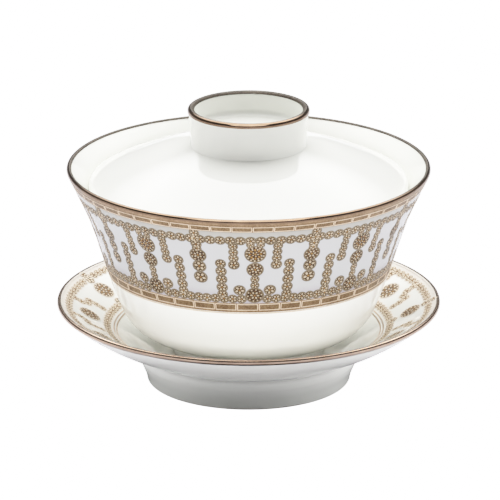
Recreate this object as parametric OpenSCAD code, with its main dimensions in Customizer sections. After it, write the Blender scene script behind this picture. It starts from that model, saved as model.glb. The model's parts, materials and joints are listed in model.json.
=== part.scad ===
// Gaiwan: a covered tea bowl standing on its own saucer.
// Millimetres, +Z up. The origin is the centre of the saucer's foot ring, on the table.
// Every piece is turned about the Z axis, so each outline below is a list of [radius, height].

/* [Saucer] */
// Diameter over the rim
saucer_d = 116.6; // [112:0.2:122]
// Height of the rim above the table
saucer_h = 25.3; // [24:0.1:27]
// Height of the well's flat floor above the table
well_floor_z = 9.5; // [9:0.1:10.5]
// Radius of the line where the dish meets the well
well_r = 40.6; // [39.5:0.1:42]
// Radius of the well's flat floor
floor_r = 26.5; // [26:0.1:28]
// Radius of the foot ring where it stands
foot_r = 31; // [30:0.1:32]
// Width of the foot ring where it stands
foot_w = 3.2; // [2.6:0.1:3.6]
// Thickness of the saucer's floor
saucer_floor_t = 2.9; // [2.6:0.1:3.4]
// Thickness of the saucer's rim
saucer_lip_t = 1.3; // [1.1:0.1:1.5]

/* [Bowl] */
// Diameter over the lip
bowl_d = 110; // [104:1:116]
// Height from the foot ring to the lip
bowl_h = 58; // [55:1:61]
// Wall thickness at the lip
bowl_lip_t = 1.4; // [1.2:0.1:1.6]
// Wall thickness from the lid's seat downwards
bowl_wall_t = 2.5; // [2.2:0.1:2.8]
// Extra thickness of the wall at the bowl's base
bowl_base_t = 0.7; // [0.5:0.1:1]
// Height of the inside of the bowl's floor above its foot
bowl_floor_h = 5; // [4.6:0.1:6]
// Outer radius of the foot ring
bowl_foot_r = 23.6; // [22:0.1:24]
// Width of the foot ring
bowl_foot_w = 3; // [2.5:0.1:3.5]

/* [Lid] */
// Depth of the lid's edge below the bowl's lip
lid_drop = 9.1; // [8:0.1:11]
// Height of the lid from its edge to the knob
lid_h = 15.8; // [14:0.1:18]
// Height of the lid's upright edge
lid_edge_h = 3.2; // [2.8:0.1:3.6]
// Wall thickness of the lid
lid_t = 2.3; // [2:0.1:2.6]

/* [Knob] */
// Diameter over the knob's lip
knob_d = 36.8; // [34:0.2:40]
// Height of the knob above the lid
knob_h = 11.5; // [10:0.1:13]
// Wall thickness of the knob
knob_t = 1.9; // [1.6:0.1:2.2]
// Depth of the knob's hollow
knob_hollow_h = 7.4; // [6.5:0.1:8]

/* [Decoration] */
// Thickness of the gilding and the transfers, thicker than the real film
film_t = 0.12; // [0.1:0.01:0.2]
// Height of the brushed gold band below the bowl's lip
rim_band_h = 2; // [1.6:0.1:2.4]
// Height of the border of bricks under the gold band
upper_border_h = 2.1; // [1.8:0.1:2.4]
// Height of the garland transfer
garland_h = 25.2; // [24:0.1:26]
// Height of the lower border of bricks
lower_border_h = 3.8; // [3.4:0.1:4.2]
// Height of the gold band below the knob's lip
knob_band_h = 1.2; // [1.1:0.1:2]
// Width of the gold line around the well
well_line_w = 1.2; // [0.8:0.1:1.6]

/* [Fit] */
// Gap between the bowl's foot ring and the saucer
foot_gap = 0.2; // [0.15:0.05:0.4]
// Gap between the lid's edge and the bowl, measured level
lid_gap = 0.4; // [0.3:0.05:0.6]

/* [Hidden] */
$fn = 96;

porcelain = [0.95, 0.95, 0.93];
gilding = [0.62, 0.49, 0.33];
transfer = [0.72, 0.66, 0.6];
curve_steps = 4; // straight steps between two points of a smooth outline
round_steps = 8; // straight steps around a rounded edge

// ---- outlines -------------------------------------------------------------------------

// A smooth curve through all the points. At each point it heads along the weighted mean of
// the two stretches that meet there, so uneven spacing leaves no bumps.
function stretch_dir(p, i) = (p[i + 1] - p[i]) / norm(p[i + 1] - p[i]);
function mean_dir(p, i) =
    let (before = norm(p[i] - p[i - 1]), after = norm(p[i + 1] - p[i]))
    (stretch_dir(p, i - 1) * after + stretch_dir(p, i) * before) / (before + after);
function heading(p, i) =
    i == 0 ? 1.5 * stretch_dir(p, 0) - 0.5 * mean_dir(p, 1) :
    i == len(p) - 1 ? 1.5 * stretch_dir(p, i - 1) - 0.5 * mean_dir(p, i - 1) :
    mean_dir(p, i);
function hermite(a, b, dir_a, dir_b, t) =
    (2 * t * t * t - 3 * t * t + 1) * a + (3 * t * t - 2 * t * t * t) * b
    + norm(b - a) * ((t * t * t - 2 * t * t + t) * dir_a + (t * t * t - t * t) * dir_b);
function smooth(p) = [
    for (i = [0 : len(p) - 2], s = [0 : curve_steps - 1])
        hermite(p[i], p[i + 1], heading(p, i), heading(p, i + 1), s / curve_steps),
    p[len(p) - 1]
];

// An arc about a centre, from one angle to another
function arc(centre, r, from, to) = [
    for (s = [0 : round_steps])
        let (a = from + (to - from) * s / round_steps) centre + r * [cos(a), sin(a)]
];

function backwards(p) = [for (i = [len(p) - 1 : -1 : 0]) p[i]];

// Unit normal of a curve at its point i, to the left of its direction
function left_of(p, i) =
    let (d = p[min(i + 1, len(p) - 1)] - p[max(i - 1, 0)]) [-d[1], d[0]] / norm(d);

// The curve moved to its left by a distance that may differ from point to point
function shifted(p, by) = [
    for (i = [0 : len(p) - 1]) p[i] + left_of(p, i) * (is_list(by) ? by[i] : by)
];

// Direction of a curve's last stretch, in degrees
function end_angle(p) = let (d = p[len(p) - 1] - p[len(p) - 2]) atan2(d[1], d[0]);

// A half round that turns left from a curve's last point to its other side, t away
function lip(p, t) =
    let (a = end_angle(p), centre = p[len(p) - 1] + t / 2 * [-sin(a), cos(a)])
    arc(centre, t / 2, a - 90, a + 90);

// The part of a curve whose coordinate k lies between lo and hi, with its ends cut exactly
function cut_at(a, b, k, v) = a + (b - a) * (v - a[k]) / (b[k] - a[k]);
function stretch(p, k, lo, hi) = [
    for (i = [0 : len(p) - 2])
        let (a = p[i], b = p[i + 1])
        for (q = [
            if (a[k] >= lo && a[k] <= hi) a,
            for (v = a[k] < b[k] ? [lo, hi] : [hi, lo]) if ((a[k] - v) * (b[k] - v) < 0) cut_at(a, b, k, v)
        ]) q,
    if (p[len(p) - 1][k] >= lo && p[len(p) - 1][k] <= hi) p[len(p) - 1]
];

// A film of even thickness on the right-hand side of a curve
module film(p) {
    rotate_extrude() polygon(concat(p, backwards(shifted(p, -film_t))));
}

// ---- saucer ---------------------------------------------------------------------------

saucer_r = saucer_d / 2;
foot_round = 0.9; // rounding of the foot ring's edges
foot_flare = 2.4; // how much the foot widens up to the dish
dish_fillet = 2.2; // rounding between the foot and the dish
fillet_centre = [foot_r + foot_flare + dish_fillet, well_floor_z - 1.1];

// Underside, from the foot ring's outer edge up into the dish and out to the rim
saucer_under = concat(
    smooth([[foot_r, foot_round], [foot_r + 0.4, 2.6], [foot_r + 1.4, 5], [foot_r + 2.1, 6.8]]),
    arc(fillet_centre, dish_fillet, 182, 112),
    smooth([
        [saucer_r - 19.8, well_floor_z + 2.6], [saucer_r - 13.6, saucer_h - 10.2],
        [saucer_r - 7.4, saucer_h - 6.6], [saucer_r - 3.2, saucer_h - 3.6],
        [saucer_r - 0.32, saucer_h - 1.12]
    ])
);
saucer_lip = lip(saucer_under, saucer_lip_t);

// Upper side, from the rim down the straight dish to the well's floor
well_edge_z = well_floor_z + 6.5;
saucer_dish = [saucer_lip[len(saucer_lip) - 1], [well_r, well_edge_z]];
saucer_well = smooth([
    [well_r, well_edge_z], [well_r - 3.6, well_floor_z + 4.2], [well_r - 7.6, well_floor_z + 1.9],
    [well_r - 11.1, well_floor_z + 0.5], [floor_r, well_floor_z]
]);

module saucer_body() {
    foot_in_r = foot_r - foot_w;
    recess_z = well_floor_z - saucer_floor_t;
    recess_round = 1.6;
    color(porcelain) rotate_extrude() polygon(concat(
        [[0, recess_z]],
        arc([foot_in_r - recess_round, recess_z - recess_round], recess_round, 90, 0),
        arc([foot_in_r + foot_round, foot_round], foot_round, 180, 270),
        stretch(arc([foot_r - foot_round, foot_round], foot_round, 270, 360), 1, 0, foot_round - 0.01),
        saucer_under, saucer_lip, [saucer_dish[1]], saucer_well, [[0, well_floor_z]]
    ));
}

rim_in = saucer_r - 1.5; // how far in the rim's gilding and the garland meet
well_line_in = well_r - 0.5; // inner edge of the line around the well

// From just under the rim, over it, and a little way into the dish
module saucer_rim_gilding() {
    rim = concat(stretch(saucer_under, 0, saucer_r - 0.9, saucer_r), saucer_lip,
                 [stretch(saucer_dish, 0, rim_in, saucer_r)[1]]);
    color(gilding) film(rim);
}

// From the gilding at the rim to a fine gap outside the line around the well
module saucer_garland_decal() {
    color(transfer) film(stretch(saucer_dish, 0, well_line_in + well_line_w + 0.2, rim_in));
}

module saucer_well_line() {
    color(gilding) film(stretch(concat(saucer_dish, saucer_well), 0, well_line_in,
                                well_line_in + well_line_w));
}

// ---- bowl -----------------------------------------------------------------------------

bowl_r = bowl_d / 2;
bowl_z = well_floor_z + foot_gap; // height of the bowl's foot ring
bowl_top = bowl_z + bowl_h;

// Outer side as shares of the bowl's radius and height: base, knee, wall and flared lip
bowl_shape = [
    [0.436, 0.062], [0.500, 0.086], [0.573, 0.114], [0.636, 0.153], [0.684, 0.209],
    [0.719, 0.281], [0.753, 0.367], [0.797, 0.497], [0.843, 0.634], [0.891, 0.764],
    [0.946, 0.878], [0.998, 0.981]
];
bowl_outer = smooth([for (p = bowl_shape) [p[0] * bowl_r, bowl_z + p[1] * bowl_h]]);
bowl_lip = lip(bowl_outer, bowl_lip_t);

// Wall thickness at a height: thin at the lip, full from the lid's seat down, and thicker
// again below the knee
knee_z = bowl_z + 0.3 * bowl_h;
function bowl_t(z) =
    let (depth = min(1, (bowl_outer[len(bowl_outer) - 1][1] - z) / lid_drop),
         base = max(0, (knee_z - z) / (knee_z - bowl_outer[0][1])))
    bowl_lip_t + (bowl_wall_t - bowl_lip_t) * sin(90 * depth) + bowl_base_t * base * base;
bowl_inner_wall = shifted(bowl_outer, [for (p = bowl_outer) bowl_t(p[1])]);

// Inside: a floor that rises as the cube of the radius, until it meets the wall
bowl_floor_z = bowl_z + bowl_floor_h;
bowl_inner_upper = stretch(bowl_inner_wall, 1, bowl_z + 0.18 * bowl_h, bowl_top);
floor_edge = bowl_inner_upper[0];
function floor_at(share) =
    [share * floor_edge[0], bowl_floor_z + (floor_edge[1] - bowl_floor_z) * pow(share, 3)];
bowl_inner = concat(
    [for (s = [0 : round_steps - 1]) floor_at(s / round_steps)],
    bowl_inner_upper
);

module bowl_body() {
    under_z = bowl_z + 2.9;
    foot_in_r = bowl_foot_r - bowl_foot_w;
    base_round = 0.8;
    color(porcelain) rotate_extrude() polygon(concat(
        [[0, under_z]],
        arc([foot_in_r - base_round, under_z - base_round], base_round, 90, 0),
        arc([foot_in_r + base_round, bowl_z + base_round], base_round, 180, 270),
        arc([bowl_foot_r - base_round, bowl_z + base_round], base_round, 270, 360),
        bowl_outer, bowl_lip, backwards(bowl_inner)
    ));
}

// Heights of the edges of the bands around the bowl, from the lip down
rim_band_z = bowl_top - rim_band_h;
upper_border_z = rim_band_z - upper_border_h;
garland_z = upper_border_z - garland_h;
lower_border_z = garland_z - lower_border_h;

// Over the lip, from its inner edge down to the edge of the brick border
module bowl_rim_gilding() {
    color(gilding) film(concat(stretch(bowl_outer, 1, rim_band_z, bowl_top), bowl_lip));
}

module bowl_upper_border() {
    color(transfer) film(stretch(bowl_outer, 1, upper_border_z, rim_band_z));
}

module bowl_garland_decal() {
    color(transfer) film(stretch(bowl_outer, 1, garland_z, upper_border_z));
}

module bowl_lower_border() {
    color(transfer) film(stretch(bowl_outer, 1, lower_border_z, garland_z));
}

// ---- lid ------------------------------------------------------------------------------

lid_z = bowl_top - lid_drop; // height of the lid's edge
edge_round = 1;
lid_r = lookup(lid_z + edge_round, [for (p = bowl_inner_wall) [p[1], p[0]]]) - lid_gap;
knob_r = knob_d / 2;
knob_z = lid_z + lid_h; // height of the seam between knob and lid
knob_foot_r = knob_r - 0.7;

// Top of the lid under the knob, then from the knob's seam to the lid's shoulder
lid_crown = smooth([[0, knob_z + 1.1], [knob_foot_r / 2, knob_z + 0.85], [knob_foot_r, knob_z]]);
shoulder_round = 2.4;
shoulder_angle = 62; // how far around the shoulder the dome meets it
shoulder_centre = [lid_r - shoulder_round, lid_z + lid_edge_h];
lid_dome = smooth([
    [knob_foot_r, knob_z], [0.49 * lid_r, lid_z + 0.90 * lid_h], [0.62 * lid_r, lid_z + 0.79 * lid_h],
    [0.74 * lid_r, lid_z + 0.66 * lid_h], [0.85 * lid_r, lid_z + 0.52 * lid_h],
    [0.93 * lid_r, lid_z + 0.41 * lid_h],
    shoulder_centre + shoulder_round * [cos(shoulder_angle), sin(shoulder_angle)]
]);
lid_edge = concat(
    arc(shoulder_centre, shoulder_round, shoulder_angle, 0),
    arc([lid_r - edge_round, lid_z + edge_round], edge_round, 0, -180)
);

module lid_body() {
    dome = concat(lid_crown, [for (i = [1 : len(lid_dome) - 1]) lid_dome[i]]);
    hollow = stretch(shifted(dome, -lid_t), 0, 0, lid_r - 6);
    inside_edge = smooth([
        [lid_r - 2 * edge_round, lid_z + edge_round], [lid_r - lid_t - 0.1, lid_z + 2.6],
        [lid_r - lid_t - 1.5, lid_z + 4.4], hollow[len(hollow) - 1]
    ]);
    color(porcelain) rotate_extrude() polygon(concat(
        dome, lid_edge, inside_edge, backwards(hollow), [[0, hollow[0][1]]]
    ));
}

// ---- knob -----------------------------------------------------------------------------

knob_top = knob_z + knob_h;
knob_outer = smooth([
    [knob_foot_r, knob_z], [knob_foot_r - 0.1, knob_z + 0.25 * knob_h],
    [knob_foot_r + 0.1, knob_z + 0.6 * knob_h], [knob_r - 0.05, knob_top - 0.55 * knob_t]
]);
knob_lip = lip(knob_outer, knob_t);

module lid_knob() {
    hollow_r = knob_r - knob_t - 0.15;
    hollow_z = knob_top - knob_hollow_h;
    hollow_round = 2.2;
    color(porcelain) rotate_extrude() polygon(concat(
        lid_crown, knob_outer, knob_lip,
        arc([hollow_r - hollow_round, hollow_z + hollow_round], hollow_round, 0, -90),
        [[0, hollow_z]]
    ));
}

// Over the knob's lip and a little way down its outside
module knob_rim_gilding() {
    color(gilding) film(concat(stretch(knob_outer, 1, knob_top - knob_band_h, knob_top), knob_lip));
}

saucer_body();
saucer_rim_gilding();
saucer_garland_decal();
saucer_well_line();
bowl_body();
bowl_rim_gilding();
bowl_upper_border();
bowl_garland_decal();
bowl_lower_border();
lid_body();
lid_knob();
knob_rim_gilding();
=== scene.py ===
import json
import math

import bpy
import numpy as np
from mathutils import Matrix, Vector

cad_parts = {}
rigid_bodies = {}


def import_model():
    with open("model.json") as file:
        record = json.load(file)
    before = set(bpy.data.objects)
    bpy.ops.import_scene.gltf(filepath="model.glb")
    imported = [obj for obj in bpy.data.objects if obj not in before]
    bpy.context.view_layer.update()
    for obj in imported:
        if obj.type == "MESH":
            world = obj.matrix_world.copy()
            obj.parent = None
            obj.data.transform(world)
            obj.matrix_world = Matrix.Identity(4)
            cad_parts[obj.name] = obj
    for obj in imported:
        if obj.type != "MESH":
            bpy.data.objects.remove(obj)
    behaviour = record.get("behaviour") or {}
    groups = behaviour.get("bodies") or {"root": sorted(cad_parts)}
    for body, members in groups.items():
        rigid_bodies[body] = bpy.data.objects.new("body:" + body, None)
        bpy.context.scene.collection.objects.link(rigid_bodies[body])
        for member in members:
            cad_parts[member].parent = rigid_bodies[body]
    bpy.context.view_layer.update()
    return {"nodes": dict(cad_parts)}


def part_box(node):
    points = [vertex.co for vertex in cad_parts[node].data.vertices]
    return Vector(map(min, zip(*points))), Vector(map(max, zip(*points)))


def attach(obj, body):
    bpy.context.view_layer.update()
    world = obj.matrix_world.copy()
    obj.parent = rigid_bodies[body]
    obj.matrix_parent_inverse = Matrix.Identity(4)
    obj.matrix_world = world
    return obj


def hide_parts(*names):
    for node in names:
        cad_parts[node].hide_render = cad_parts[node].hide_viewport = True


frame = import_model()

MM = 0.001
RADIUS, HEIGHT = 0, 1  # the two columns of an outline's points
random = np.random.default_rng(7)


# ---- outlines of the turned CAD parts -----------------------------------------------------------

SAME_RING = 0.02 * MM  # vertices closer than this in radius and height are on one ring
LONGEST_STEP = 3 * MM  # longer straight stretches of an outline are divided
CORNER = math.radians(25)  # an outline that turns by more than this has a corner there
LEAST_RATIO, MOST_RATIO = 0.4, 2.5  # lengths of neighbouring steps that may be on one curve


def mesh_rings(mesh):
    """The [radius, height] of a turned mesh's rings, and which rings each of them is joined to."""
    places = np.array([vertex.co for vertex in mesh.vertices])
    spots = np.column_stack([np.hypot(places[:, 0], places[:, 1]), places[:, 2]])
    _, cell_of = np.unique(np.round(spots / SAME_RING), axis=0, return_inverse=True)
    cell_of = cell_of.ravel()
    count = np.bincount(cell_of)
    centres = np.column_stack([np.bincount(cell_of, spots[:, k]) / count for k in (RADIUS, HEIGHT)])
    ring_of_cell = []
    for i, centre in enumerate(centres):
        near = np.nonzero(np.linalg.norm(centres[:i] - centre, axis=1) < SAME_RING)[0]
        ring_of_cell.append(ring_of_cell[near[0]] if len(near) else i)
    neighbours = {ring: set() for ring in ring_of_cell}
    for edge in mesh.edges:
        a, b = (ring_of_cell[cell_of[v]] for v in edge.vertices)
        if a != b:
            neighbours[a].add(b)
            neighbours[b].add(a)
    return centres, neighbours


def outline(node):
    """The [radius, height] points of a turned CAD node in order, with the outside to their right."""
    centres, neighbours = mesh_rings(frame["nodes"][node].data)
    ends = [ring for ring in neighbours if len(neighbours[ring]) == 1]
    walk = [min(ends or neighbours, key=lambda ring: centres[ring][HEIGHT])]
    while True:
        onward = [ring for ring in neighbours[walk[-1]] if ring not in walk]
        if not onward:
            break
        walk.append(max(onward, key=lambda ring: centres[ring][RADIUS]))
    points = centres[walk]
    if not ends:
        after = np.roll(points, -1, axis=0)
        area = (points[:, 0] * after[:, 1] - after[:, 0] * points[:, 1]).sum()
        return points if area > 0 else points[::-1]
    off_axis = points[points[:, RADIUS] > SAME_RING]
    return np.vstack([[0, points[0][HEIGHT]], off_axis, [0, points[-1][HEIGHT]]])


def turn_at(a, b, c):
    """How much a path through three points turns at the middle one, in radians."""
    before, after = b - a, c - b
    cross = before[0] * after[1] - before[1] * after[0]
    return abs(math.atan2(cross, before @ after))


def refined(points, closed):
    """The outline with one point more between each two, on a smooth curve except next to a corner."""
    n = len(points)
    made = []
    for i in range(n if closed else n - 1):
        a, b, c, d = (points[(i + k) % n] for k in (-1, 0, 1, 2))
        inside = closed or 0 < i < n - 2
        smooth = inside and max(turn_at(a, b, c), turn_at(b, c, d)) < CORNER
        ratios = [np.linalg.norm(step) / np.linalg.norm(c - b) for step in (b - a, d - c)]
        even = LEAST_RATIO < min(ratios) and max(ratios) < MOST_RATIO
        # halfway along the cubic through four evenly spaced points
        middle = (9 * (b + c) - a - d) / 16 if smooth and even else (b + c) / 2
        made += [b, middle]
    return np.array(made if closed else made + [points[-1]])


def divided(points):
    """The open outline with its long straight stretches cut into even steps."""
    made = [points[0]]
    for a, b in zip(points[:-1], points[1:]):
        steps = max(1, math.ceil(np.linalg.norm(b - a) / LONGEST_STEP))
        made += [a + (b - a) * k / steps for k in range(1, steps + 1)]
    return np.array(made)


def crossings(a, b, axis, values):
    """The points between two others where the radius or height passes some values."""
    return [
        a + (b - a) * (value - a[axis]) / (b[axis] - a[axis])
        for value in values
        if (a[axis] - value) * (b[axis] - value) < 0
    ]


def clipped(points, axis, low, high):
    """The part of an open outline whose radius or height lies from low to high."""
    made = []
    for a, b in zip(points[:-1], points[1:]):
        if low <= a[axis] <= high:
            made.append(a)
        edges = (low, high) if a[axis] < b[axis] else (high, low)
        made += crossings(a, b, axis, edges)
    if low <= points[-1][axis] <= high:
        made.append(points[-1])
    return np.array(made)


def cut(points, axis, value):
    """The closed outline with a point more wherever its radius or height passes a value."""
    made = []
    for a, b in zip(points, np.roll(points, -1, axis=0)):
        made += [a] + crossings(a, b, axis, [value])
    return np.array(made)


# ---- meshes -------------------------------------------------------------------------------------

SEGMENTS = 240  # steps around a turned piece
SHARP_EDGE = math.radians(38)  # smooth shading stops at edges that turn by more than this
ON_AXIS = 1e-9  # a point with a smaller radius is a single vertex on the axis
BAND_CHAMFER = 0.04 * MM


def piece(name, verts, faces, materials, zones=None, smooth=True):
    """A mesh object in the row frame. zones gives each face the number of its material."""
    mesh = bpy.data.meshes.new(name)
    mesh.from_pydata([tuple(v) for v in verts], [], faces)
    for material in materials:
        mesh.materials.append(material)
    if zones is not None:
        mesh.polygons.foreach_set("material_index", zones)
    if smooth:
        mesh.shade_smooth()
        mesh.set_sharp_from_angle(angle=SHARP_EDGE)
    made = bpy.data.objects.new(name, mesh)
    bpy.context.scene.collection.objects.link(made)
    return made


def turned(name, points, materials, zone_of=None, closed=False):
    """A piece turned about Z. zone_of gives the number of the material from a stretch's middle."""
    angles = np.arange(SEGMENTS) * 2 * math.pi / SEGMENTS
    circle = np.column_stack([np.sin(angles), -np.cos(angles)])
    verts, first, faces, zones = [], [], [], []
    for radius, height in points:
        first.append(len(verts))
        if radius < ON_AXIS:
            verts.append((0, 0, height))
        else:
            verts += [(radius * x, radius * y, height) for x, y in circle]
    n = len(points)
    for i in range(n if closed else n - 1):
        j = (i + 1) % n
        a, b = first[i], first[j]
        zone = zone_of((points[i] + points[j]) / 2) if zone_of else 0
        for k in range(SEGMENTS):
            m = (k + 1) % SEGMENTS
            if points[i][RADIUS] < ON_AXIS:
                faces.append((a, b + m, b + k))
            elif points[j][RADIUS] < ON_AXIS:
                faces.append((a + k, a + m, b))
            else:
                faces.append((a + k, a + m, b + m, b + k))
            zones.append(zone)
    return piece(name, verts, faces, materials, zones)


class Skin:
    """A chain of outline points, turned: a surface for laying flat shapes on."""

    def __init__(self, chain):
        self.chain = chain
        steps = np.diff(chain, axis=0)
        lengths = np.linalg.norm(steps, axis=1)
        self.along = np.concatenate([[0], np.cumsum(lengths)])
        normals = np.column_stack([steps[:, 1], -steps[:, 0]]) / lengths[:, None]
        padded = np.vstack([normals[:1], normals, normals[-1:]])
        self.normals = (padded[:-1] + padded[1:]) / 2

    def where(self, axis, value):
        """How far along the chain its radius or height has a value."""
        values = self.chain[:, axis]
        order = np.argsort(values)
        return np.interp(value, values[order], self.along[order])

    def points(self, along, height):
        """[radius, height] of points at distances along the chain, raised off the surface."""
        base = [np.interp(along, self.along, self.chain[:, k]) for k in (RADIUS, HEIGHT)]
        normal = [np.interp(along, self.along, self.normals[:, k]) for k in (RADIUS, HEIGHT)]
        return np.stack([b + n * height for b, n in zip(base, normal)], axis=-1)

    def band(self, start, end, low, high):
        """The closed outline of a film over part of the chain."""
        inside = self.along[(self.along > start) & (self.along < end)]
        along = np.concatenate([[start], inside, [end]])
        chamfer = min(high - low, BAND_CHAMFER)
        under = self.points(along, low)
        over = self.points(along, high)
        ends = [self.points(end, high - chamfer), self.points(start, high - chamfer)]
        over[0] = self.points(start + chamfer, high)
        over[-1] = self.points(end - chamfer, high)
        # over runs along the chain on the outside, and under comes back on the inside
        return np.vstack([over, [ends[0]], under[::-1], [ends[1]]])


def stamped(skin, template, spots):
    """Copies of a closed flat shape laid on a skin. A spot is turn, distance along, size, spin."""
    shape, faces = template
    spots = np.array(spots, float)
    turn, along, size, spin = (spots[:, k, None] for k in range(4))
    u = size * (shape[:, 0] * np.cos(spin) - shape[:, 1] * np.sin(spin))
    v = size * (shape[:, 0] * np.sin(spin) + shape[:, 1] * np.cos(spin))
    height = np.broadcast_to(shape[:, 2], u.shape)
    radius = skin.points(along, 0)[..., RADIUS]
    rz = skin.points(along + v, height)
    angle = turn + u / radius
    verts = np.stack([rz[..., 0] * np.sin(angle), -rz[..., 0] * np.cos(angle), rz[..., 1]], axis=-1)
    n = len(shape)
    all_faces = [tuple(i + k * n for i in face) for k in range(len(spots)) for face in faces]
    return verts.reshape(-1, 3), all_faces


def joined(parts):
    """Several (points, faces) meshes as one."""
    verts, faces, start = [], [], 0
    for part_verts, part_faces in parts:
        verts.append(part_verts)
        faces += [tuple(i + start for i in face) for face in part_faces]
        start += len(part_verts)
    return np.vstack(verts), faces


# ---- flat shapes in units of a motif's radius, with heights in metres ---------------------------

DISC_CHAMFER = 0.3  # share of a plate's thickness


def lobed(count, lobes, depth):
    """A closed outline of radius 1 with round lobes."""
    angles = np.arange(count) * 2 * math.pi / count
    radii = 1 - depth / 2 + depth / 2 * np.cos(lobes * angles)
    return np.column_stack([radii * np.sin(angles), radii * np.cos(angles)])


def quads(loops, sides, closed):
    """Faces between each loop of points and the next, and if closed from the last to the first."""
    faces = []
    for r in range(loops if closed else loops - 1):
        s = (r + 1) % loops
        for k in range(sides):
            m = (k + 1) % sides
            faces.append((r * sides + k, r * sides + m, s * sides + m, s * sides + k))
    return faces


def disc(edge, low, high, rings=(0.94, 0.5)):
    """A closed plate: its lower edge, chamfered upper edge, rings inside it and a centre."""
    n = len(edge)
    chamfer = (high - low) * DISC_CHAMFER
    levels = [(1.0, low), (1.0, high - chamfer)] + [(share, high) for share in rings]
    points = [np.column_stack([edge * share, np.full(n, level)]) for share, level in levels]
    points.append([[0, 0, high]])
    last, centre = (len(levels) - 1) * n, len(levels) * n
    under = [tuple(range(n - 1, -1, -1))]
    fan = [(last + k, last + (k + 1) % n, centre) for k in range(n)]
    return np.vstack(points), under + quads(len(levels), n, False) + fan


def bead(wide, tall, low, high, sides=8):
    """A small closed dome on an oval foot."""
    round_edge = lobed(sides, 1, 0) * [wide, tall]
    return disc(round_edge, low, high, rings=(0.62,))


def moved(template, distance, angle):
    """A shape moved out from the centre and turned to point outwards."""
    points, faces = template
    c, s = math.cos(angle), math.sin(angle)
    u = points[:, 0] * c + (points[:, 1] + distance) * s
    v = -points[:, 0] * s + (points[:, 1] + distance) * c
    return np.column_stack([u, v, points[:, 2]]), faces


def circlet(template, count, distance, start=0.0):
    """Copies of a shape in a ring around the centre, the first one a share of a step along."""
    turns = [2 * math.pi * (k + start) / count for k in range(count)]
    return joined([moved(template, distance, turn) for turn in turns])


def slab(width, height, low, high, columns):
    """A closed rectangular plate, cut into columns so that it can follow a round wall."""
    xs = np.linspace(-width / 2, width / 2, columns + 1)
    n = columns + 1
    points = []
    for level in (low, high):
        for y in (-height / 2, height / 2):
            points += [(x, y, level) for x in xs]
    faces = []
    for k in range(columns):
        faces.append((k, n + k, n + k + 1, k + 1))
        faces.append((2 * n + k, 2 * n + k + 1, 3 * n + k + 1, 3 * n + k))
        faces.append((k, k + 1, 2 * n + k + 1, 2 * n + k))
        faces.append((n + k + 1, n + k, 3 * n + k, 3 * n + k + 1))
    faces.append((0, 2 * n, 3 * n, n))
    faces.append((n - 1, 2 * n - 1, 4 * n - 1, 3 * n - 1))
    return np.array(points), faces


def frame_loop(width, height, columns):
    """The points around a rectangle, with its long sides cut into columns."""
    xs = np.linspace(-width / 2, width / 2, columns + 1)
    return [(x, -height / 2) for x in xs] + [(x, height / 2) for x in xs[::-1]]


def bezel(width, height, border, low, high, columns):
    """A closed rectangular frame, cut into columns so that it can follow a round wall."""
    outer = frame_loop(width, height, columns)
    inner = frame_loop(width - 2 * border, height - 2 * border, columns)
    loops = [(outer, low), (outer, high), (inner, high), (inner, low)]
    points = np.array([(x, y, level) for edge, level in loops for x, y in edge])
    return points, quads(len(loops), len(outer), True)


# ---- material helpers ---------------------------------------------------------------------------


def srgb(red, green, blue):
    """A colour given from 0 to 255 as the linear values that a shader takes."""
    shares = [channel / 255 for channel in (red, green, blue)]
    return [s / 12.92 if s <= 0.04045 else ((s + 0.055) / 1.055) ** 2.4 for s in shares] + [1]


def new_material(name, **sockets):
    """A material with one Principled shader, whose plain sockets are set by name."""
    made = bpy.data.materials.new(name)
    made.use_nodes = True
    shader = made.node_tree.nodes["Principled BSDF"]
    for socket, value in sockets.items():
        shader.inputs[socket.replace("_", " ")].default_value = value
    return made, made.node_tree, shader


def object_place(tree):
    """The place of a point on the object, in metres."""
    return tree.nodes.new("ShaderNodeTexCoord").outputs["Object"]


def math_node(tree, operation, a, b=0.0):
    """The result of an operation on numbers or sockets."""
    node = tree.nodes.new("ShaderNodeMath")
    node.operation = operation
    for socket, value in zip(node.inputs, (a, b)):
        if isinstance(value, (int, float)):
            socket.default_value = value
        else:
            tree.links.new(value, socket)
    return node.outputs[0]


def sum_of(tree, first, second, share=0.6):
    """Two grey patterns added, the first with the given share."""
    part = math_node(tree, "MULTIPLY", first, share)
    rest = math_node(tree, "MULTIPLY", second, 1 - share)
    return math_node(tree, "ADD", part, rest)


def brush_place(tree, turns_scale=5, across_scale=2600):
    """A place for streaks that run around the piece: angle, height and radius, each scaled."""
    split = tree.nodes.new("ShaderNodeSeparateXYZ")
    tree.links.new(object_place(tree), split.inputs[0])
    x, y, z = (split.outputs[axis] for axis in "XYZ")
    angle = math_node(tree, "ARCTAN2", y, x)
    x2 = math_node(tree, "MULTIPLY", x, x)
    y2 = math_node(tree, "MULTIPLY", y, y)
    radius = math_node(tree, "SQRT", math_node(tree, "ADD", x2, y2))
    whole = tree.nodes.new("ShaderNodeCombineXYZ")
    tree.links.new(math_node(tree, "MULTIPLY", angle, turns_scale), whole.inputs["X"])
    tree.links.new(math_node(tree, "MULTIPLY", z, across_scale), whole.inputs["Y"])
    tree.links.new(math_node(tree, "MULTIPLY", radius, across_scale), whole.inputs["Z"])
    return whole.outputs[0]


def noise(tree, place, scale, detail=2.0, roughness=0.5):
    """A grey noise pattern."""
    node = tree.nodes.new("ShaderNodeTexNoise")
    node.inputs["Scale"].default_value = scale
    node.inputs["Detail"].default_value = detail
    node.inputs["Roughness"].default_value = roughness
    tree.links.new(place, node.inputs["Vector"])
    return node.outputs["Fac"]


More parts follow.
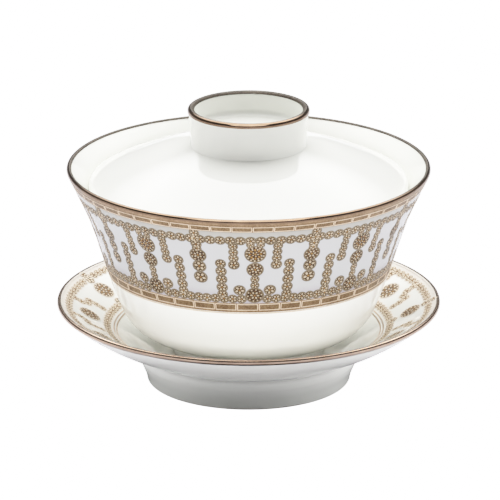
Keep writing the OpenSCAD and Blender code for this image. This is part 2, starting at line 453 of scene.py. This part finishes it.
def ramp(tree, share, stops):
    """Colours or grey levels along a share from 0 to 1: stops are (position, colour)."""
    node = tree.nodes.new("ShaderNodeValToRGB")
    elements = node.color_ramp.elements
    while len(elements) < len(stops):
        elements.new(0.5)
    for element, (position, color) in zip(elements, stops):
        element.position = position
        element.color = color if hasattr(color, "__len__") else (color, color, color, 1)
    tree.links.new(share, node.inputs["Fac"])
    return node.outputs["Color"]


def between(tree, shader, socket, share, first, second, start=0.3, end=0.7):
    """Lets a shader's socket vary from a first to a second value as a pattern rises."""
    tree.links.new(ramp(tree, share, [(start, first), (end, second)]), shader.inputs[socket])


def bump(tree, shader, height, strength, distance):
    """Gives a shader's surface the relief of a pattern."""
    node = tree.nodes.new("ShaderNodeBump")
    node.inputs["Strength"].default_value = strength
    node.inputs["Distance"].default_value = distance
    tree.links.new(height, node.inputs["Height"])
    tree.links.new(node.outputs["Normal"], shader.inputs["Normal"])


# ---- materials ----------------------------------------------------------------------------------


def glaze_material():
    """Clear glaze over white porcelain: faint clouds in the white, a slow ripple and fine pitting."""
    made, tree, shader = new_material("porcelain_glaze", IOR=1.5)
    place = object_place(tree)
    clouds = noise(tree, place, scale=55, detail=3)
    between(tree, shader, "Base Color", clouds, srgb(246, 247, 239), srgb(249, 249, 242))
    smears = noise(tree, place, scale=130, detail=3)
    between(tree, shader, "Roughness", smears, 0.055, 0.10)
    ripple = noise(tree, place, scale=70, detail=1)
    pitting = noise(tree, place, scale=1500)
    height = math_node(tree, "ADD", ripple, math_node(tree, "MULTIPLY", pitting, 0.02))
    bump(tree, shader, height, strength=0.12, distance=0.4 * MM)
    return made


def biscuit_material():
    """Bare fired porcelain where a foot ring stands: matt, slightly warm and finely grained."""
    made, tree, shader = new_material("biscuit", IOR=1.5)
    grain = noise(tree, object_place(tree), scale=2500, detail=4, roughness=0.7)
    between(tree, shader, "Base Color", grain, srgb(205, 196, 182), srgb(228, 221, 208))
    between(tree, shader, "Roughness", grain, 0.65, 0.9)
    bump(tree, shader, grain, strength=0.5, distance=0.08 * MM)
    return made


def gold_material(name, dark, light, rough):
    """Brushed-on gold: streaks around the piece vary its tone, its gloss and its thickness."""
    made, tree, shader = new_material(name, Metallic=1.0)
    streaks = noise(tree, brush_place(tree), scale=1, detail=4, roughness=0.6)
    patches = noise(tree, object_place(tree), scale=220)
    tone = sum_of(tree, streaks, patches)
    between(tree, shader, "Base Color", tone, srgb(*dark), srgb(*light))
    between(tree, shader, "Roughness", streaks, rough * 1.5, rough)
    bump(tree, shader, streaks, strength=0.25, distance=0.02 * MM)
    return made


def print_material(name, dark, light, metal, rough):
    """Printed and fired colour: the ink lies a little unevenly, so its tone and gloss vary."""
    made, tree, shader = new_material(name, Metallic=metal, Specular_IOR_Level=0.2)
    place = object_place(tree)
    fine = noise(tree, place, scale=1800, roughness=0.6)
    broad = noise(tree, place, scale=225)
    tone = sum_of(tree, fine, broad)
    between(tree, shader, "Base Color", tone, srgb(*dark), srgb(*light), start=0.35, end=0.65)
    between(tree, shader, "Roughness", fine, rough * 1.3, rough * 0.8)
    bump(tree, shader, fine, strength=0.3, distance=0.02 * MM)
    return made


def tint_material(name, low, high, colors):
    """The pale tint behind the garland, which changes from the band's lower to its upper edge. On the
    bowl its darkest colours at the top are painted shade under the flared lip.
    """
    made, tree, shader = new_material(name)
    place = object_place(tree)
    split = tree.nodes.new("ShaderNodeSeparateXYZ")
    tree.links.new(place, split.inputs[0])
    above = math_node(tree, "SUBTRACT", split.outputs["Z"], low)
    share = math_node(tree, "DIVIDE", above, high - low)
    centred = math_node(tree, "SUBTRACT", noise(tree, place, scale=400, detail=3), 0.5)
    wobble = math_node(tree, "MULTIPLY", centred, 0.06)
    stops = [(position, srgb(*color)) for position, color in colors]
    color = ramp(tree, math_node(tree, "ADD", share, wobble), stops)
    tree.links.new(color, shader.inputs["Base Color"])
    fine = noise(tree, place, scale=1600)
    between(tree, shader, "Roughness", fine, 0.16, 0.26)
    bump(tree, shader, fine, strength=0.1, distance=0.01 * MM)
    return made


GLAZE = glaze_material()
BISCUIT = biscuit_material()
# name, darkest and lightest tone, roughness
# the rim golds are shaded and lit copies of one gilding: rim_gold is coloured darker, as painted
# shade for dark reflections on the bowl's and knob's rims, and the saucer's is coloured lighter, as
# painted light for bright reflections on its rim
GOLD = gold_material("rim_gold", (90, 72, 58), (138, 113, 92), 0.09)
SAUCER_GOLD_PAINTED_LIGHTER = gold_material("saucer_rim_gold", (140, 117, 100), (190, 164, 143), 0.14)
PALE_GOLD = gold_material("pale_gold", (186, 160, 138), (226, 204, 184), 0.3)
# name, darkest and lightest tone, metallic, roughness
# the inner edge of each gold rim is coloured dark: a painted dark reflection
GOLD_PAINTED_DARK_REFLECTION = print_material("rim_gold_inner_edge", (62, 55, 48), (88, 79, 69), 0.3, 0.5)
BROWN_GOLD = print_material("brown_gold", (107, 84, 61), (149, 122, 95), 0.35, 0.4)
BRICK = print_material("brick_brown", (86, 66, 45), (128, 104, 77), 0.25, 0.42)
INK = print_material("dark_ink", (38, 29, 20), (72, 55, 38), 0.1, 0.42)
KHAKI = print_material("khaki_ink", (72, 58, 39), (98, 81, 58), 0.2, 0.4)
MIDDLE_INK = print_material("middle_ink", (78, 62, 46), (118, 97, 74), 0.15, 0.4)
MIDDLE_KHAKI = print_material("middle_khaki", (134, 116, 92), (168, 150, 124), 0.2, 0.4)
PALE_INK = print_material("pale_ink", (108, 88, 68), (150, 126, 100), 0.15, 0.4)
PALE_KHAKI = print_material("pale_khaki", (188, 168, 143), (218, 200, 177), 0.2, 0.4)
CREAM = print_material("cream_enamel", (212, 188, 158), (244, 228, 204), 0.1, 0.3)
PETAL = print_material("petal_enamel", (150, 131, 105), (182, 165, 140), 0.1, 0.3)
LINE = print_material("cream_line", (206, 180, 152), (230, 210, 185), 0.1, 0.3)
AMBER = print_material("amber_enamel", (108, 73, 34), (150, 112, 66), 0.2, 0.32)
WASH = print_material("wash", (90, 79, 63), (112, 99, 82), 0.0, 0.35)
BEIGE = print_material("beige_tint", (226, 216, 202), (236, 228, 218), 0.0, 0.3)


# ---- motifs -------------------------------------------------------------------------------------

UNDER = -0.03 * MM  # printed shapes start just under the glaze
TINT_TOP = 0.015 * MM
WASH_TOP = 0.03 * MM
KHAKI_TOP = 0.046 * MM
INK_TOP = 0.062 * MM
LINE_TOP = 0.08 * MM
BRICK_TOP = 0.0825 * MM
FRAME_TOP = 0.096 * MM
RELIEF_TOP = 0.12 * MM
SECOND_PRINT = 0.05 * MM  # a print over a print lies this much higher


def relief(wide, tall, sides=8):
    """A bead of enamel."""
    return bead(wide, tall, UNDER, RELIEF_TOP, sides)


def rosette():
    """A five-petalled flower with a bead between each two petals."""
    return {
        "wash": disc(lobed(16, 1, 0) * 1.2, UNDER, WASH_TOP),
        "khaki": disc(lobed(25, 5, 0.12), UNDER, KHAKI_TOP),
        "ink": disc(lobed(25, 5, 0.16) * 0.92, UNDER, INK_TOP),
        "petals": circlet(relief(0.21, 0.28), 5, 0.56),
        "beads": circlet(relief(0.08, 0.08, 6), 5, 0.86, 0.5),
        "amber": relief(0.18, 0.18),
    }


def roundel():
    """A medallion of six petals inside a ring of beads."""
    return {
        "wash": disc(lobed(24, 1, 0) * 1.10, UNDER, WASH_TOP),
        "khaki": disc(lobed(40, 10, 0.08), UNDER, KHAKI_TOP),
        "ink": disc(lobed(40, 10, 0.10) * 0.94, UNDER, INK_TOP),
        "petals": circlet(relief(0.11, 0.16), 6, 0.38),
        "beads": circlet(relief(0.10, 0.10), 10, 0.78),
        "amber": joined([relief(0.13, 0.13), circlet(relief(0.07, 0.07, 6), 6, 0.57, 0.5)]),
    }


def medallion():
    """A large medallion: a ring of beads, eight petals with beads between, and a small flower."""
    rings = (0.96, 0.64, 0.32)
    return {
        "wash": disc(lobed(32, 1, 0) * 1.08, UNDER, WASH_TOP),
        "khaki": disc(lobed(56, 14, 0.06), UNDER, KHAKI_TOP, rings),
        "ink": disc(lobed(56, 14, 0.07) * 0.95, UNDER, INK_TOP, rings),
        "petals": joined([
            circlet(relief(0.08, 0.10), 8, 0.62, 0.5),
            circlet(relief(0.07, 0.09, 6), 5, 0.25),
        ]),
        "beads": circlet(relief(0.09, 0.10), 14, 0.84),
        "amber": joined([relief(0.11, 0.11), circlet(relief(0.10, 0.15), 8, 0.52)]),
    }


MOTIFS = {"rosette": rosette(), "roundel": roundel(), "medallion": medallion()}
LAYERS = {"wash": WASH, "ink": INK, "khaki": KHAKI, "petals": PETAL, "beads": PETAL, "amber": AMBER}
ENAMELS = {"petals": CREAM, "beads": CREAM, "amber": AMBER}
MIDDLE_LAYERS = {"wash": BEIGE, "ink": MIDDLE_INK, "khaki": MIDDLE_KHAKI, **ENAMELS}
PALE_LAYERS = {"wash": BEIGE, "ink": PALE_INK, "khaki": PALE_KHAKI, **ENAMELS}


def spread(layout, repeats, axis):
    """All places of one repeat's motifs: mirrored about its axis, then repeated around the piece."""
    half = 180 / repeats
    placed = []
    for k in range(repeats):
        for kind, angle, height, size in layout:
            for side in (1, -1) if 0 < angle < half else (1,):
                turn = math.radians(axis + 360 / repeats * k + side * angle)
                placed.append((kind, turn, height * MM, size * MM))
    return placed


def garland(name, skin, axis, start, placed, body, layers):
    """A garland in one piece for each colour. Heights count up from a start, a radius or height."""
    spots = {kind: [] for kind in MOTIFS}
    for kind, turn, height, size in placed:
        spin = random.uniform(0, math.pi / 3)
        spots[kind].append((turn, skin.where(axis, start + height), size, spin))
    pieces = {}
    for layer, material in layers.items():
        parts = [stamped(skin, MOTIFS[kind][layer], spots[kind]) for kind in MOTIFS if spots[kind]]
        pieces[layer] = piece(f"{name}_{layer}", *joined(parts), [material])
        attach(pieces[layer], body)
    return pieces


# ---- turned pieces ------------------------------------------------------------------------------

BARE_FOOT = 0.45 * MM  # the lowest part of a foot ring, which has no glaze


def porcelain(node, name, body, materials):
    """A CAD node of porcelain as a finely turned piece. A second material is for its bare foot."""
    bare_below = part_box(node)[0].z + BARE_FOOT

    def zone(middle):
        return 1 if len(materials) > 1 and middle[HEIGHT] < bare_below else 0

    made = turned(name, divided(refined(outline(node), False)), materials, zone)
    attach(made, body)
    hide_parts(node)
    return made


def gilded(node, name, body, materials, zone, cuts):
    """A gilding node as a finely turned film, with crisp edges between its zones."""
    points = refined(outline(node), True)
    for axis, value in cuts:
        points = cut(points, axis, value)
    made = turned(name, points, materials, zone, closed=True)
    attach(made, body)
    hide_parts(node)
    return made


def banded(name, skin, axis, start, end, high, material, body):
    """A thin film around a skin, from one radius or height of it to another."""
    points = skin.band(skin.where(axis, start), skin.where(axis, end), UNDER, high)
    made = turned(name, points, [material], closed=True)
    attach(made, body)
    return made


def crest(node):
    """The radius where the film over a rim is highest."""
    points = outline(node)
    return points[points[:, HEIGHT].argmax()][RADIUS]


# ---- saucer -------------------------------------------------------------------------------------

SAUCER_REPEATS = 7
SAUCER_HALF = 180 / SAUCER_REPEATS
SAUCER_AXIS = 13.6  # degrees to the right of the front
# One repeat: motif, degrees from its axis, mm outward from the band's inner edge, mm radius
OUTER_CHAIN = [("rosette", SAUCER_HALF * (k + 0.5) / 10, 13.3, 1.48) for k in range(10)]
INNER_CHAIN = [("rosette", SAUCER_HALF * (k + 0.5) / 9, 1.7, 1.45) for k in range(9)]
SAUCER_STRANDS = [
    ("rosette", 7.8, 12.0, 1.6), ("rosette", 7.9, 10.0, 1.7), ("rosette", 9.4, 8.4, 1.6),
    ("rosette", 12.0, 8.2, 1.7), ("rosette", 12.5, 6.2, 1.6), ("rosette", 12.5, 4.3, 1.5),
]
SAUCER_LAYOUT = OUTER_CHAIN + INNER_CHAIN + SAUCER_STRANDS
SAUCER_DARK_LAYOUT = [
    ("medallion", 0, 6.9, 3.6), ("medallion", SAUCER_HALF, 7.8, 3.5),
    ("rosette", SAUCER_HALF, 2.3, 1.9), ("rosette", SAUCER_HALF, 15.0, 1.6),
    ("rosette", SAUCER_HALF, 12.7, 1.9),
]
DISH_FROM = 36 * MM  # the decorated dish starts outside this radius
RIM_TINT_W = 1.3 * MM
WELL_LINE_W = 0.42 * MM


def saucer_rim():
    """Gold over the rim, coloured lighter than the other rims' gold as painted light, with a painted
    dark reflection on its inner edge and a beige tint on the side of the dish.
    """
    node = "saucer_rim_gilding"
    dish_side = crest(node) - 0.4 * MM
    edge = crest(node) - 0.15 * MM

    def zone(middle):
        if middle[RADIUS] < dish_side:
            return 2
        # zone 1, just inside the crest, is the painted dark reflection
        return 1 if middle[RADIUS] < edge else 0

    cuts = [(RADIUS, dish_side), (RADIUS, edge)]
    gilded(node, "saucer_rim_gold", "saucer", [SAUCER_GOLD_PAINTED_LIGHTER, GOLD_PAINTED_DARK_REFLECTION, BEIGE], zone, cuts)


def saucer_garland(dish):
    """The tint inside the rim, the pale garland and the darker one printed over it."""
    body = "saucer"
    inner = outline("saucer_garland_decal")[:, RADIUS].min()
    outer = outline("saucer_garland_decal")[:, RADIUS].max()
    banded("saucer_rim_tint", dish, RADIUS, outer, outer - RIM_TINT_W, TINT_TOP, BEIGE, body)
    placed = spread(SAUCER_LAYOUT, SAUCER_REPEATS, SAUCER_AXIS)
    pieces = garland("saucer", dish, RADIUS, inner, placed, body, PALE_LAYERS)
    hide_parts("saucer_garland_decal")
    raised = Skin(dish.points(dish.along, SECOND_PRINT))
    placed = spread(SAUCER_DARK_LAYOUT, SAUCER_REPEATS, SAUCER_AXIS)
    garland("saucer_dark", raised, RADIUS, inner, placed, body, MIDDLE_LAYERS)


def saucer_well_lines(dish):
    """Two thin gold lines around the well."""
    inner = outline("saucer_well_line")[:, RADIUS].min()
    outer = outline("saucer_well_line")[:, RADIUS].max()
    for name, start in (("outer", outer), ("inner", inner + WELL_LINE_W)):
        line = banded(f"saucer_well_gold_{name}", dish, RADIUS, start, start - WELL_LINE_W, LINE_TOP,
                      PALE_GOLD, "saucer")
        if name == "outer":
            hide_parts("saucer_well_line")


def saucer():
    """The saucer with its gold rim, its garlands and the lines around its well."""
    shape = refined(outline("saucer_body"), False)
    lip = int(shape[:, HEIGHT].argmax())
    dish = Skin(clipped(shape[lip:], RADIUS, DISH_FROM, shape[lip][RADIUS]))
    porcelain("saucer_body", "saucer_porcelain", "saucer", [GLAZE, BISCUIT])
    saucer_rim()
    saucer_garland(dish)
    saucer_well_lines(dish)


# ---- bowl ---------------------------------------------------------------------------------------

BOWL_REPEATS = 9
BOWL_AXIS = 2.3  # degrees to the right of the front
# One repeat: motif, degrees from its axis, mm above the band's lower edge, mm radius
TOP_CHAIN = [("rosette", 20 * (k + 0.5) / 6, 22.1, 1.5) for k in range(6)]
BOTTOM_CHAIN = [("rosette", 5 + 3.35 * k, 1.5, 1.36) for k in range(5)]
BOWL_LAYOUT = TOP_CHAIN + BOTTOM_CHAIN + [
    ("medallion", 0, 17.3, 3.1), ("roundel", 0, 11.8, 2.4), ("rosette", 1.7, 20.6, 1.1),
    ("rosette", 0, 8.4, 1.2), ("rosette", 0, 6.3, 1.2),
    ("roundel", 0, 2.8, 2.6),
    ("rosette", 5.7, 4.6, 1.6),
    ("rosette", 7.5, 20.0, 1.3), ("rosette", 7.5, 17.9, 1.3), ("rosette", 7.5, 15.8, 1.35),
    ("rosette", 7.5, 13.4, 1.5),
    ("rosette", 12.2, 13.7, 1.45), ("rosette", 12.2, 11.0, 1.5),
    ("rosette", 12.2, 8.2, 1.5), ("rosette", 12.2, 5.4, 1.5), ("rosette", 12.2, 3.0, 1.4),
    ("rosette", 20, 24.2, 1.4), ("rosette", 20, 22.2, 1.5), ("rosette", 20, 20.1, 1.5),
    ("rosette", 20, 18.6, 1.3),
    ("roundel", 20, 16.2, 2.45), ("rosette", 20, 12.3, 1.85), ("rosette", 20, 8.5, 1.85),
]
WALL_FROM = 10  # the outer wall starts after this many points, past the foot ring
# How far up the band its tint has each colour: darker towards the lower edge, and darker towards the
# upper edge as painted shade under the flared lip
GARLAND_TINT_AND_SHADE = [
    (0.0, (154, 149, 152)), (0.10, (162, 159, 162)), (0.2, (172, 172, 172)),
    (0.82, (172, 172, 172)), (0.93, (154, 152, 146)), (1.0, (145, 142, 134)),
]
BRICK_COLUMNS = 8  # steps along a brick
BRICK_GAP = 0.3 * MM


def bricks(name, skin, low, high, count, first_gap, border):
    """A border of framed bricks, with its first gap at a number of degrees from the front."""
    low, high = skin.where(HEIGHT, low), skin.where(HEIGHT, high)
    middle = (low + high) / 2
    radius = float(skin.points(middle, 0)[RADIUS])
    width = 2 * math.pi * radius / count - BRICK_GAP
    height = high - low
    inset = 3.2 * border
    turns = [math.radians(first_gap + 360 / count * (k + 0.5)) for k in range(count)]
    spots = [(turn, middle, 1, 0) for turn in turns]
    border_shape = bezel(width, height, border, UNDER, FRAME_TOP, BRICK_COLUMNS)
    brick_shape = slab(width - inset, height - inset, UNDER, BRICK_TOP, BRICK_COLUMNS)
    for part, shape, material in (("frames", border_shape, LINE), ("fills", brick_shape, BRICK)):
        made = piece(f"{name}_{part}", *stamped(skin, shape, spots), [material], smooth=False)
        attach(made, "bowl")


def bowl_rim():
    """Gold over the lip, with a painted dark reflection on its inner edge and a brown band and a line
    under it.
    """
    node = "bowl_rim_gilding"
    lip_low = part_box(node)[0].z + 1.0 * MM
    line_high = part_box(node)[0].z + 0.25 * MM
    edge = crest(node)

    def zone(middle):
        # the inner side of the crest gets the painted dark reflection
        if middle[RADIUS] < edge and middle[HEIGHT] > lip_low + 0.8 * MM:
            return 3
        if middle[HEIGHT] > lip_low:
            return 0
        return 1 if middle[HEIGHT] > line_high else 2

    materials = [GOLD, BROWN_GOLD, BRICK, GOLD_PAINTED_DARK_REFLECTION]
    cuts = [(HEIGHT, lip_low), (HEIGHT, line_high), (RADIUS, edge)]
    gilded(node, "bowl_rim_gold", "bowl", materials, zone, cuts)


def bowl_upper_border(wall, low, high):
    """A brown band with bricks between two heights."""
    ground = banded("bowl_upper_border_ground", wall, HEIGHT, low, high, INK_TOP, BROWN_GOLD,
                    "bowl")
    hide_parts("bowl_upper_border")
    bricks("bowl_upper_bricks", wall, low + 0.2 * MM, high - 0.25 * MM, count=54, first_gap=1.24,
           border=0.17 * MM)


def bowl_garland(wall, low, high):
    """The tinted band between two heights, with its garland."""
    # the tint's darker top is painted shade under the lip
    tint = tint_material("garland_tint", low, high, GARLAND_TINT_AND_SHADE)
    banded("bowl_garland_tint", wall, HEIGHT, low, high, TINT_TOP, tint, "bowl")
    placed = spread(BOWL_LAYOUT, BOWL_REPEATS, BOWL_AXIS)
    pieces = garland("bowl", wall, HEIGHT, low, placed, "bowl", LAYERS)
    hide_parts("bowl_garland_decal")


def bowl_lower_border(wall, low, high):
    """A brown band with bricks between two heights, and a pale line at its foot."""
    brick_low, brick_high = high - 2.45 * MM, high - 0.3 * MM
    ground = banded("bowl_lower_border_ground", wall, HEIGHT, brick_low - 0.75 * MM, high, INK_TOP,
                    BROWN_GOLD, "bowl")
    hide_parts("bowl_lower_border")
    bricks("bowl_lower_bricks", wall, brick_low, brick_high, count=42, first_gap=3.9,
           border=0.2 * MM)
    banded("bowl_lower_line", wall, HEIGHT, low + 0.1 * MM, low + 0.55 * MM, INK_TOP, PALE_KHAKI,
           "bowl")


def bowl():
    """The bowl with its gold rim, its two borders of bricks and the garland between them."""
    shape = refined(outline("bowl_body"), False)
    wall = Skin(shape[WALL_FROM:int(shape[:, HEIGHT].argmax())])
    porcelain("bowl_body", "bowl_porcelain", "bowl", [GLAZE, BISCUIT])
    bowl_rim()
    top = outline("bowl_upper_border")[:, HEIGHT].max()
    garland_top = outline("bowl_garland_decal")[:, HEIGHT].max()
    garland_foot = outline("bowl_lower_border")[:, HEIGHT].max()
    bottom = outline("bowl_lower_border")[:, HEIGHT].min()
    bowl_upper_border(wall, garland_top, top)
    bowl_garland(wall, garland_foot, garland_top)
    bowl_lower_border(wall, bottom, garland_foot)


# ---- lid and knob -------------------------------------------------------------------------------


def lid():
    """The lid, its knob and the gold over the knob's lip, with a painted dark reflection on its inner
    edge.
    """
    porcelain("lid_body", "lid_porcelain", "lid", [GLAZE])
    porcelain("lid_knob", "knob_porcelain", "lid", [GLAZE])
    node = "knob_rim_gilding"
    edge = crest(node)

    def zone(middle):
        # the inner side of the crest gets the painted dark reflection
        return 1 if middle[RADIUS] < edge else 0

    gilded(node, "knob_rim_gold", "lid", [GOLD, GOLD_PAINTED_DARK_REFLECTION], zone, [(RADIUS, edge)])


# ---- stage --------------------------------------------------------------------------------------

WHITE_LEVEL = 3.0  # light that is shown as pure white
FLOOR_HALF = 8.0
FLOOR_DROP = 0.05 * MM  # the table top is just below the foot ring
# The table's colour by distance from the axis in metres: dark close around the foot, a painted shadow
FLOOR_PAINTED_SHADOW_TONES = [(0.059, (0.05, 0.05, 0.055, 1)), (0.072, (0.90, 0.89, 0.95, 1))]
FLOOR_OVAL = (1.5, 1, 1)  # the dark patch is narrower from side to side
TENT_STRENGTH = 8.0
TENT_LEAN = math.radians(26)  # how far the overhead light leans to the back
TENT_LEAST = 0.02  # light from every direction
OVERHEAD_EDGE = [(0.76, 0.0), (0.88, 1.0)]  # by the cosine of the angle from its middle
CARDS = (((-1, 0.1, 0), 0.4), ((1, 0.1, 0), 0.5), ((0, 1, 0), 0.15))  # left, right and behind
CARD_EDGE = (0.55, 0.85)  # by the cosine of the angle from a card's middle
CARD_TOP = [(0.12, 1.0), (0.30, 0.0)]  # by the sine of the height above the horizon
CARDS_HIDDEN = 0.85  # share of the cards' light that reflections leave out
CURVE_LIGHTS = (0.15, 0.35, 0.6, 0.9, 1.3, 1.8, 2.4)  # where the film curve has its points


def seen_white(tree, shader_socket, white_kind, output):
    """The camera sees pure white, and every other ray sees the given shader."""
    white = tree.nodes.new(white_kind)
    white.inputs["Color"].default_value = (1, 1, 1, 1)
    white.inputs["Strength"].default_value = WHITE_LEVEL
    either = tree.nodes.new("ShaderNodeMixShader")
    tree.links.new(tree.nodes.new("ShaderNodeLightPath").outputs["Is Camera Ray"], either.inputs[0])
    tree.links.new(shader_socket, either.inputs[1])
    tree.links.new(white.outputs[0], either.inputs[2])
    tree.links.new(either.outputs[0], output)


def floor_material():
    """A matt white table top with faint clouds, and a painted shadow close around the foot."""
    made, tree, shader = new_material("table_white", Roughness=0.6)
    place = object_place(tree)
    oval = tree.nodes.new("ShaderNodeMapping")
    oval.inputs["Scale"].default_value = FLOOR_OVAL
    tree.links.new(place, oval.inputs["Vector"])
    distance = tree.nodes.new("ShaderNodeVectorMath")
    distance.operation = "LENGTH"
    tree.links.new(oval.outputs["Vector"], distance.inputs[0])
    clouds = math_node(tree, "MULTIPLY", noise(tree, place, scale=30), 0.02)
    share = math_node(tree, "ADD", distance.outputs["Value"], clouds)
    tree.links.new(ramp(tree, share, FLOOR_PAINTED_SHADOW_TONES), shader.inputs["Base Color"])
    output = tree.nodes["Material Output"].inputs["Surface"]
    seen_white(tree, shader.outputs[0], "ShaderNodeEmission", output)
    return made


def floor():
    """A wide pale table top."""
    corners = ((-1, -1), (1, -1), (1, 1), (-1, 1))
    verts = [(x * FLOOR_HALF, y * FLOOR_HALF, 0) for x, y in corners]
    top = piece("table", verts, [(0, 1, 2, 3)], [floor_material()], smooth=False)
    top.location.z = -FLOOR_DROP


def facing(tree, direction, way):
    """How directly a direction points one way, from -1 to 1."""
    node = tree.nodes.new("ShaderNodeVectorMath")
    node.operation = "DOT_PRODUCT"
    node.inputs[1].default_value = way
    tree.links.new(direction, node.inputs[0])
    return node.outputs["Value"]


def tent():
    """A white light tent that is open, and so dark, towards the front."""
    world = bpy.data.worlds.new("tent")
    bpy.context.scene.world = world
    world.use_nodes = True
    tree = world.node_tree
    direction = tree.nodes.new("ShaderNodeTexCoord").outputs["Generated"]
    lean = (0, math.sin(TENT_LEAN), math.cos(TENT_LEAN))  # the way to the overhead light
    overhead = ramp(tree, facing(tree, direction, lean), OVERHEAD_EDGE)
    low = ramp(tree, facing(tree, direction, (0, 0, 1)), CARD_TOP)
    left, right, behind = (
        ramp(tree, facing(tree, direction, way), [(CARD_EDGE[0], 0.0), (CARD_EDGE[1], level)])
        for way, level in CARDS
    )
    around = math_node(tree, "ADD", math_node(tree, "ADD", left, right), behind)
    shiny = tree.nodes.new("ShaderNodeLightPath").outputs["Is Glossy Ray"]
    shown = math_node(tree, "SUBTRACT", 1.0, math_node(tree, "MULTIPLY", shiny, CARDS_HIDDEN))
    cards = math_node(tree, "MULTIPLY", math_node(tree, "MULTIPLY", low, around), shown)
    share = math_node(tree, "ADD", math_node(tree, "ADD", overhead, cards), TENT_LEAST)
    background = tree.nodes["Background"]
    background.inputs["Strength"].default_value = TENT_STRENGTH
    tree.links.new(share, background.inputs["Color"])
    output = tree.nodes["World Output"].inputs["Surface"]
    seen_white(tree, background.outputs[0], "ShaderNodeBackground", output)


def softbox(name, place, aim, width, height, power):
    """A rectangular area light turned towards a point, which doesn't show in reflections."""
    lamp = bpy.data.lights.new(name, "AREA")
    lamp.shape = "RECTANGLE"
    lamp.size = width
    lamp.size_y = height
    lamp.energy = power
    made = bpy.data.objects.new(name, lamp)
    made.location = place
    made.rotation_euler = (Vector(aim) - Vector(place)).to_track_quat("-Z", "Y").to_euler()
    made.visible_glossy = False
    made.visible_camera = False
    bpy.context.scene.collection.objects.link(made)
    return made


def light_only(lamp, starts):
    """Limits a lamp to the pieces whose names have one of some starts."""
    cad = list(frame["nodes"].values())
    lit = bpy.data.collections.new(f"lit_by_{lamp.name}")
    for part in bpy.data.objects:
        if part.name.startswith(starts) and part.type == "MESH" and part not in cad:
            lit.objects.link(part)
    lamp.light_linking.receiver_collection = lit


def lamps():
    """Soft fills for the bowl and saucer, and a light that only shows as a gleam on two gold rims."""
    front = softbox("bowl_fill", (0, -1.2, 0.35), (0, 0, 0.03), width=1.0, height=0.3, power=28)
    light_only(front, "bowl_")
    back = softbox("saucer_fill", (0, 0.9, 1.1), (0, 0, 0), width=0.6, height=0.6, power=12)
    light_only(back, "saucer_")
    gleam = softbox("rim_gleam", (0, -0.72, 1.31), (0, 0, 0.06), width=1.4, height=1.0, power=36)
    gleam.visible_glossy = True
    gleam.visible_diffuse = False
    light_only(gleam, ("bowl_rim", "knob_rim"))
    for name, x, power in (("saucer_left", -0.8, 1.2), ("saucer_right", 0.8, 2.1)):
        side = softbox(name, (x, 0.04, 0.035), (0, 0, 0.015), width=0.6, height=0.06, power=power)
        side.data.color = (0.95, 0.96, 1.0)
        light_only(side, "saucer_")


def film_curve():
    """A soft shoulder, as on film: white porcelain keeps its shading in bright light."""
    settings = bpy.context.scene.view_settings
    settings.view_transform = "Standard"
    settings.use_curve_mapping = True
    mapping = settings.curve_mapping
    mapping.white_level = [WHITE_LEVEL] * 3
    points = mapping.curves[3].points
    for light in CURVE_LIGHTS:
        points.new(light / WHITE_LEVEL, (1 - math.exp(-light)) / (1 - math.exp(-WHITE_LEVEL)))
    mapping.update()


CAMERA_TILT = math.radians(18.2)
CAMERA_DISTANCE = 1.7
CAMERA_AIM = 40.67 * MM  # height of the point on the axis that the camera looks at
LENS = 402.9
SENSOR = 36
SHIFT = 0.0028  # the gaiwan stands a little left of the picture's middle


def camera():
    """A long lens, looking down on the gaiwan from the front."""
    data = bpy.data.cameras.new("camera")
    data.lens = LENS
    data.sensor_width = SENSOR
    data.shift_x = SHIFT
    data.clip_end = 60
    made = bpy.data.objects.new("camera", data)
    back = CAMERA_DISTANCE * math.cos(CAMERA_TILT)
    up = CAMERA_DISTANCE * math.sin(CAMERA_TILT)
    made.location = (0, -back, CAMERA_AIM + up)
    made.rotation_euler = (math.pi / 2 - CAMERA_TILT, 0, 0)
    bpy.context.scene.collection.objects.link(made)
    bpy.context.scene.camera = made


saucer()
bowl()
lid()
floor()
tent()
lamps()
camera()
film_curve()
